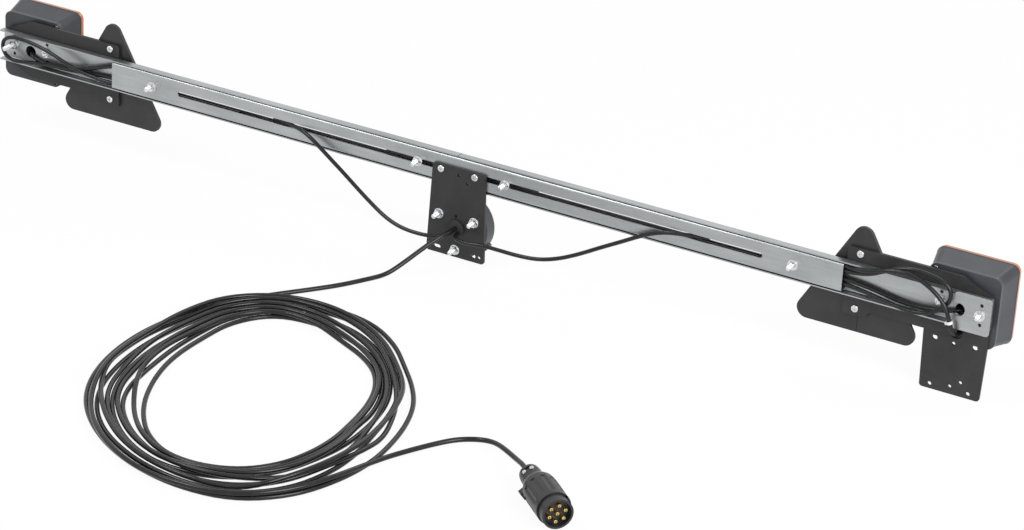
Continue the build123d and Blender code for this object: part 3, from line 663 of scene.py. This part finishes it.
def turnedPiece(name, profile, x, z, steps):
    # Drawn as one line of radius and depth, then spun round a Y axis through x and z
    bpy.ops.object.select_all(action="DESELECT")
    bpy.ops.mesh.primitive_circle_add(vertices=3, radius=mm, location=(0, 0, 0))
    piece = openNew(name)
    bpy.ops.mesh.merge(type="CENTER")
    radius, depth = profile[0]
    bpy.ops.transform.translate(value=((x + radius) * mm, depth * mm, z * mm))
    for before, after in zip(profile, profile[1:]):
        step = ((after[0] - before[0]) * mm, (after[1] - before[1]) * mm, 0)
        bpy.ops.mesh.extrude_region_move(TRANSFORM_OT_translate={"value": step})
    bpy.ops.mesh.select_all(action="SELECT")
    bpy.ops.mesh.spin(steps=steps, angle=2 * math.pi, center=(x * mm, 0, z * mm), axis=(0, 1, 0))
    bpy.ops.mesh.select_all(action="SELECT")
    bpy.ops.mesh.remove_doubles(threshold=1e-6)
    bpy.ops.mesh.normals_make_consistent(inside=False)
    bpy.ops.object.mode_set(mode="OBJECT")
    return piece


fogMiddle = (4.5, -74.5)  # x and z of the round lamp, its studs and its cable, mm

stud = {
    "outside": 3.0,
    "root": 2.55,
    "pitch": 1.0,
    "steps": 18,  # faces round it
    "plain": 5.5,  # smooth shank at the rear of a lamp stud
    "bolt": 2.6,  # smooth shank under a clamp bolt's head
    "head": ((6.0, 0), (6.4, 0.4), (6.3, 1.2), (5.2, 2.3), (3.4, 3.1), (1.6, 3.4), (0, 3.4)),  # radius, rise
    "fogCircle": 28.8,
    "fogTurns": (150, 30, 270),
    "fogTip": -18,
}


def fogStudPlace(turn):
    x = fogMiddle[0] + stud["fogCircle"] * math.cos(math.radians(turn))
    z = fogMiddle[1] + stud["fogCircle"] * math.sin(math.radians(turn))
    return x, z, stud["fogTip"]


# Body, node, depth of the bolt head or none, and the x, z and tip of each
studRows = {
    "outerClampBolts": ("centre_section", "outer_clamp_bolts", 13.3, [(-456, 0, -15), (456, 0, -15)]),
    "leftInnerBolt": ("left_arm", "left_inner_clamp_bolt", 13.0, [(-56, 0, -15)]),
    "rightInnerBolt": ("right_arm", "right_inner_clamp_bolt", 13.0, [(68, 0, -15)]),
    "fogLampStuds": ("centre_section", "fog_lamp_studs", None,
                     [fogStudPlace(turn) for turn in stud["fogTurns"]]),
    "leftLampStuds": ("left_arm", "left_lamp_studs", None, [(-631.4, 1, 3), (-684.4, 1, -12)]),
    "rightLampStuds": ("right_arm", "right_lamp_studs", None, [(638, 1, 3), (691, 1, -12)]),
}


def threadProfile(tip, end):
    # From the stud's tip to where its thread ends
    line = [(0, tip), (stud["root"] - 0.5, tip), (stud["root"], tip + 0.5)]
    depth = tip + 0.9
    while depth + stud["pitch"] < end:
        line += [(stud["outside"], depth), (stud["outside"], depth + 0.15), (stud["root"], depth + 0.55)]
        depth += stud["pitch"]
    return line


def studProfile(tip, end):
    line = threadProfile(tip, end - stud["plain"] - 0.5)
    return line + [(stud["outside"], end - stud["plain"]), (stud["outside"], end), (0, end)]


def boltProfile(tip, headAt):
    line = threadProfile(tip, headAt - stud["bolt"] - 0.4)
    line += [(stud["outside"], headAt - stud["bolt"]), (stud["outside"], headAt)]
    return line + [(radius, headAt + rise) for radius, rise in stud["head"]]


def makeStuds(looks):
    for name, (body, node, headAt, places) in studRows.items():
        made = []
        for number, (x, z, tip) in enumerate(places):
            if headAt is None:
                line = studProfile(tip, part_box(node)[1][1] / mm)
            else:
                line = boltProfile(tip, headAt)
            made.append(turnedPiece(f"{name}{number}", line, x, z, stud["steps"]))
        finishPiece(joinPieces(name, made), body, looks["zinc_fasteners"], (node,))


grommet = {"lip": 11.5, "throat": 8.9, "steps": 40}


def makeGrommet(looks):
    lip, throat = grommet["lip"], grommet["throat"]
    line = [(0, -7), (8.2, -7), (9.0, -6.7), (9.4, -6.1), (9.9, -6.2), (10.5, -5.6), (10.7, -5.1),
            (lip, -4.9), (lip, -3.6), (lip - 0.5, -3), (throat, -3), (throat, 2.5), (0, 2.5)]
    piece = turnedPiece("cableGrommet", line, *fogMiddle, grommet["steps"])
    finishPiece(piece, "centre_section", looks["black_rubber"], ("cable_grommet",))


fogLens = {
    "rim": 39.0,
    "back": 22.0,
    "edge": 1.8,
    "crown": 7.2,
    "rings": 9,
    "ring": 0.45,  # how far a ring stands up
    "wall": 2.5,
    "steps": 64,
}


def makeFogLens(looks):
    # Pressed rings stand on the dome, and a plain rim carries it
    rim, back, crown = fogLens["rim"], fogLens["back"], fogLens["crown"]
    edge = back + fogLens["edge"]
    dome = rim - fogLens["wall"]
    hollow = dome - fogLens["wall"]
    line = [(rim, back), (rim, edge - 0.5), (rim - 0.5, edge), (dome, edge)]
    inside = [(hollow, back)]
    count = fogLens["rings"] * 4
    for step in range(1, count):
        share = 1 - step / count
        bow = math.sqrt(1 - share ** 2)
        wave = fogLens["ring"] * math.sin(math.pi * step / 2) if step > 3 else 0
        line.append((dome * share, edge + crown * bow + wave - 0.4))
        if step % 4 == 0:
            inside.append((hollow * share, back + 0.2 + (crown - 1) * bow))
    line += [(0, back + crown + 1.6), (0, back + crown - 0.9)] + inside[::-1] + [(rim, back)]
    piece = turnedPiece("fogLampLens", line, *fogMiddle, fogLens["steps"])
    finishPiece(piece, "centre_section", looks["red_lens"], ("fog_lamp_lens",))


panel = {
    "front": 64.8,
    "middle": 661.2,
    "width": 88.0,
    "high": 42.0,
    "margin": 2.0,  # gap between the seam and a panel
    "rib": 0.9,
    "wall": 0.5,
    "columns": 36,
    "rows": 14,
}


def makeLensPanels(looks):
    # Moulded optics on the face of each lamp lens: upright flutes above the seam, cushions below it
    for sideName, (side, body) in arms.items():
        for above in (True, False):
            middle = lensLook["seam"] + (1 if above else -1) * (panel["high"] / 2 + panel["margin"])
            bpy.ops.object.select_all(action="DESELECT")
            bpy.ops.mesh.primitive_grid_add(x_subdivisions=panel["columns"], y_subdivisions=panel["rows"],
                                            size=1, location=(0, 0, 0))
            piece = openNew(sideName + ("Flutes" if above else "Cushions"))
            bpy.ops.transform.resize(value=(panel["width"] * mm, panel["high"] * mm, 1))
            faceForward((side * panel["middle"], panel["front"], middle))
            raisePattern(piece, above)
            bpy.ops.mesh.select_all(action="SELECT")
            bpy.ops.mesh.normals_make_consistent(inside=False)
            giveWall(piece, panel["wall"], 0)
            look = looks["amber"] if above else looks["red_lens"]
            finishPiece(piece, body, look, smooth=12)


def raisePattern(piece, flutes):
    # Every second column of the grid stands up, and for cushions only every second row of it
    bpy.ops.mesh.select_all(action="DESELECT")
    mesh = bmesh.from_edit_mesh(piece.data)
    stepX = panel["width"] / panel["columns"] * mm
    stepZ = panel["high"] / panel["rows"] * mm
    left = min(v.co.x for v in mesh.verts)
    low = min(v.co.z for v in mesh.verts)
    for vert in mesh.verts:
        column = round((vert.co.x - left) / stepX)
        row = round((vert.co.z - low) / stepZ)
        vert.select = column % 2 == 1 and 0 < row < panel["rows"] and (flutes or row % 2 == 1)
    mesh.select_flush(False)
    bmesh.update_edit_mesh(piece.data)
    bpy.ops.transform.translate(value=(0, panel["rib"] * mm, 0))


lampRim = {
    "middle": 661.2,
    "height": -3.5,
    "wide": 102.8,
    "high": 101.8,
    "back": 56.0,
    "front": 58.2,
    "corner": 10.4,
    "wall": 1.4,
    "edge": 0.4,
}


def makeLampRims(looks):
    # A lip of the housing laps over the back half of each lens edge
    for sideName, (side, body) in arms.items():
        bpy.ops.object.select_all(action="DESELECT")
        bpy.ops.mesh.primitive_cube_add(size=mm, location=(0, 0, 0))
        piece = openNew(sideName + "LampRim")
        bpy.ops.transform.resize(value=(lampRim["wide"], lampRim["front"] - lampRim["back"], lampRim["high"]))
        place = (side * lampRim["middle"], (lampRim["front"] + lampRim["back"]) / 2, lampRim["height"])
        bpy.ops.transform.translate(value=[v * mm for v in place])
        selectEdges(piece, lambda first, second: abs(first.y - second.y) > mm)
        bpy.ops.mesh.bevel(offset=lampRim["corner"] * mm, segments=10)
        selectFaces(piece, lambda face: abs(face.normal.y) > 0.9)
        bpy.ops.mesh.delete(type="FACE")
        bpy.ops.mesh.select_mode(type="VERT")
        giveWall(piece, lampRim["wall"], -1)
        edge = piece.modifiers.new("edge", "BEVEL")
        edge.width = lampRim["edge"] * mm
        edge.segments = 2
        edge.limit_method = "ANGLE"
        bpy.ops.object.modifier_apply(modifier="edge")
        finishPiece(piece, body, looks["lamp_plastic"])


prism = {
    "middle": 532.3,
    "shift": 1.5,  # both triangles stand this far to the right
    "base": -71.5,
    "side": 170.0,  # of the sharp-cornered triangle
    "front": 25.5,
    "inset": 9.0,
    "cells": 30,  # along each edge
    "rise": 0.9,
    "wall": 0.4,
}


def makePrisms(looks):
    # Field of small pyramids on the face of each triangle, their points outwards
    for sideName, (side, body) in arms.items():
        middle = side * (prism["middle"] + side * prism["shift"])
        centreZ = prism["base"] + prism["side"] / (2 * math.sqrt(3))
        edge = prism["side"] - prism["inset"] * 2 * math.sqrt(3)
        bpy.ops.object.select_all(action="DESELECT")
        bpy.ops.mesh.primitive_circle_add(vertices=3, radius=edge / math.sqrt(3) * mm, fill_type="NGON",
                                          location=(0, 0, 0))
        piece = openNew(sideName + "ReflectorPrisms")
        bpy.ops.mesh.subdivide(number_cuts=prism["cells"] - 1)
        bpy.ops.mesh.poke(offset=-prism["rise"] * mm)
        bpy.ops.mesh.flip_normals()
        faceForward((middle, prism["front"], centreZ))
        giveWall(piece, prism["wall"], -1)
        finishPiece(piece, body, looks["reflector_red"], smooth=5)


studio = {
    "floor": -0.1182,
    "size": 18.0,
    "pale": 0.86,
    "plain": 0.94,  # share of plain white that the camera sees on the floor
    "sky": 0.6,
}


def seenOn(tree):
    # 1 for what the camera sees, straight on, mirrored in metal or through glass
    paths = tree.nodes.new("ShaderNodeLightPath")
    seen = mathOn(tree, "MAXIMUM", paths.outputs["Is Camera Ray"], paths.outputs["Is Glossy Ray"])
    return mathOn(tree, "MAXIMUM", seen, paths.outputs["Is Transmission Ray"])


def makeFloor():
    bpy.ops.object.select_all(action="DESELECT")
    bpy.ops.mesh.primitive_plane_add(size=studio["size"], location=(0, 0, studio["floor"]))
    floor = bpy.context.active_object
    floor.name = "studioFloor"
    material, tree, shader = blankMaterial("paleFloor")[:3]
    pale = studio["pale"]
    setSockets(shader, {"Base Color": (pale, pale, pale, 1), "Roughness": 0.8, "Specular IOR Level": 0.1})
    glow = tree.nodes.new("ShaderNodeEmission")
    soft = tree.nodes.new("ShaderNodeMixShader")
    tree.links.new(mathOn(tree, "MULTIPLY", seenOn(tree), studio["plain"]), soft.inputs["Fac"])
    tree.links.new(shader.outputs["BSDF"], soft.inputs[1])
    tree.links.new(glow.outputs["Emission"], soft.inputs[2])
    tree.links.new(soft.outputs["Shader"], tree.nodes["Material Output"].inputs["Surface"])
    floor.data.materials.append(material)


def makeWorld():
    world = bpy.data.worlds.new("studioWorld")
    bpy.context.scene.world = world
    world.use_nodes = True
    tree = world.node_tree
    back = tree.nodes["Background"]
    back.inputs["Color"].default_value = (1, 1, 1, 1)
    strength = mathOn(tree, "ADD", mathOn(tree, "MULTIPLY", seenOn(tree), 1 - studio["sky"]), studio["sky"])
    tree.links.new(strength, back.inputs["Strength"])


studioLamps = {
    "keyLamp": {"place": (-1.5, -1.5, 2.9), "aim": (0, 0, 0), "size": 1.3, "power": 36},
    "fillLamp": {"place": (2.3, -1.2, 1.2), "aim": (0.6, 0, 0), "size": 1.6, "power": 50},
    "rimLamp": {"place": (0.5, 2.2, 2.2), "aim": (0, 0, 0), "size": 1.6, "power": 12},
}


def makeLamp(name, place, aim, size, power):
    data = bpy.data.lights.new(name, "AREA")
    data.shape = "DISK"
    data.size = size
    data.energy = power
    lamp = bpy.data.objects.new(name, data)
    bpy.context.scene.collection.objects.link(lamp)
    lamp.location = place
    lamp.rotation_euler = (Vector(aim) - Vector(place)).to_track_quat("-Z", "Y").to_euler()


def makeStudio():
    makeFloor()
    makeWorld()
    for name, lamp in studioLamps.items():
        makeLamp(name, **lamp)
    bpy.context.scene.view_settings.view_transform = "Standard"


makeCamera()
print("camera set")
looks = makeMaterials()
print("materials set")
makeCords(looks)
print("cords laid")
makeStuds(looks)
makeGrommet(looks)
print("studs and grommet turned")
makeFogLens(looks)
makeLensPanels(looks)
makeLampRims(looks)
makePrisms(looks)
print("lenses made")
makeStudio()
print("studio set")
